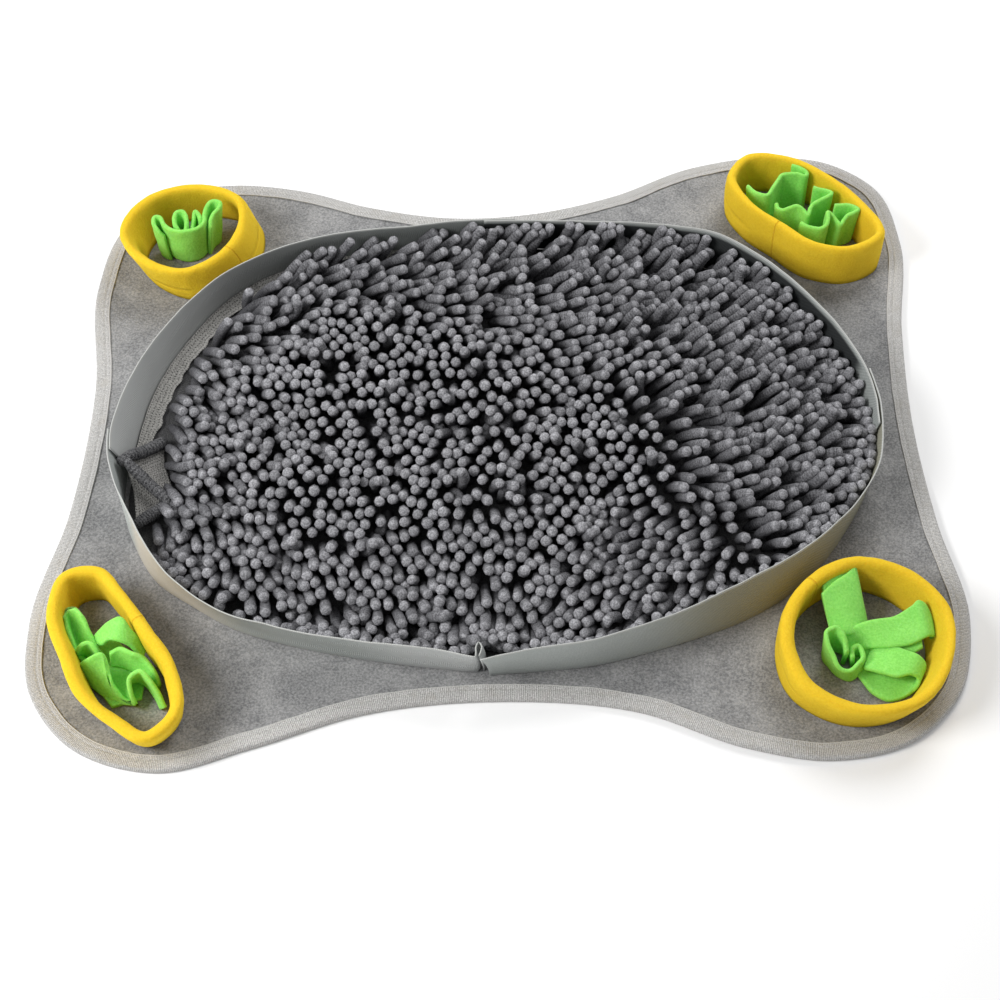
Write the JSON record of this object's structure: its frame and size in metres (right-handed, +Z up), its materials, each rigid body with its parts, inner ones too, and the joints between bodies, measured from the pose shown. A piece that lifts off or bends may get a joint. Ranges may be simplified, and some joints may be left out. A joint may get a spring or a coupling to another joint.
{
  "type": "snuffle mat",
  "caption": "Grey four-lobed felt mat with a bound edge, a ribbon fence round an oval of chenille fingers, and fleece rings that hold tufts of fleece strips.",
  "frame": {"origin": "bottom centre of the mat's box, on the surface that it lies on", "axes": "+X along the mat's long side, +Y away from the side with the fence's front lap, +Z up"},
  "size_m": [0.6052, 0.5392, 0.0384],
  "materials": {
    "base_felt": "mottled mid-grey felt with a short suede-like nap",
    "binding_tape": "warm light grey ribbed grosgrain tape, folded and stitched",
    "fence_ribbon": "light grey twill ribbon with pale woven edges",
    "chenille": "dark grey chenille fingers on a knitted backing",
    "ring_fleece": "soft yellow fleece, doubled",
    "tuft_fleece": "soft bright green fleece strips"
  },
  "bodies": {
    "root": {"base": "base_felt", "binding": "binding_tape", "fence_front_right": "fence_ribbon", "fence_back_right": "fence_ribbon", "fence_back_left": "fence_ribbon", "fence_front_left": "fence_ribbon", "pile_pad": "chenille", "ring_back_left": "ring_fleece", "ring_back_right": "ring_fleece", "ring_front_left": "ring_fleece", "ring_front_right": "ring_fleece", "tuft_back_left": "tuft_fleece", "tuft_back_right": "tuft_fleece", "tuft_front_left": "tuft_fleece", "tuft_front_right": "tuft_fleece"}
  },
  "joints": []
}
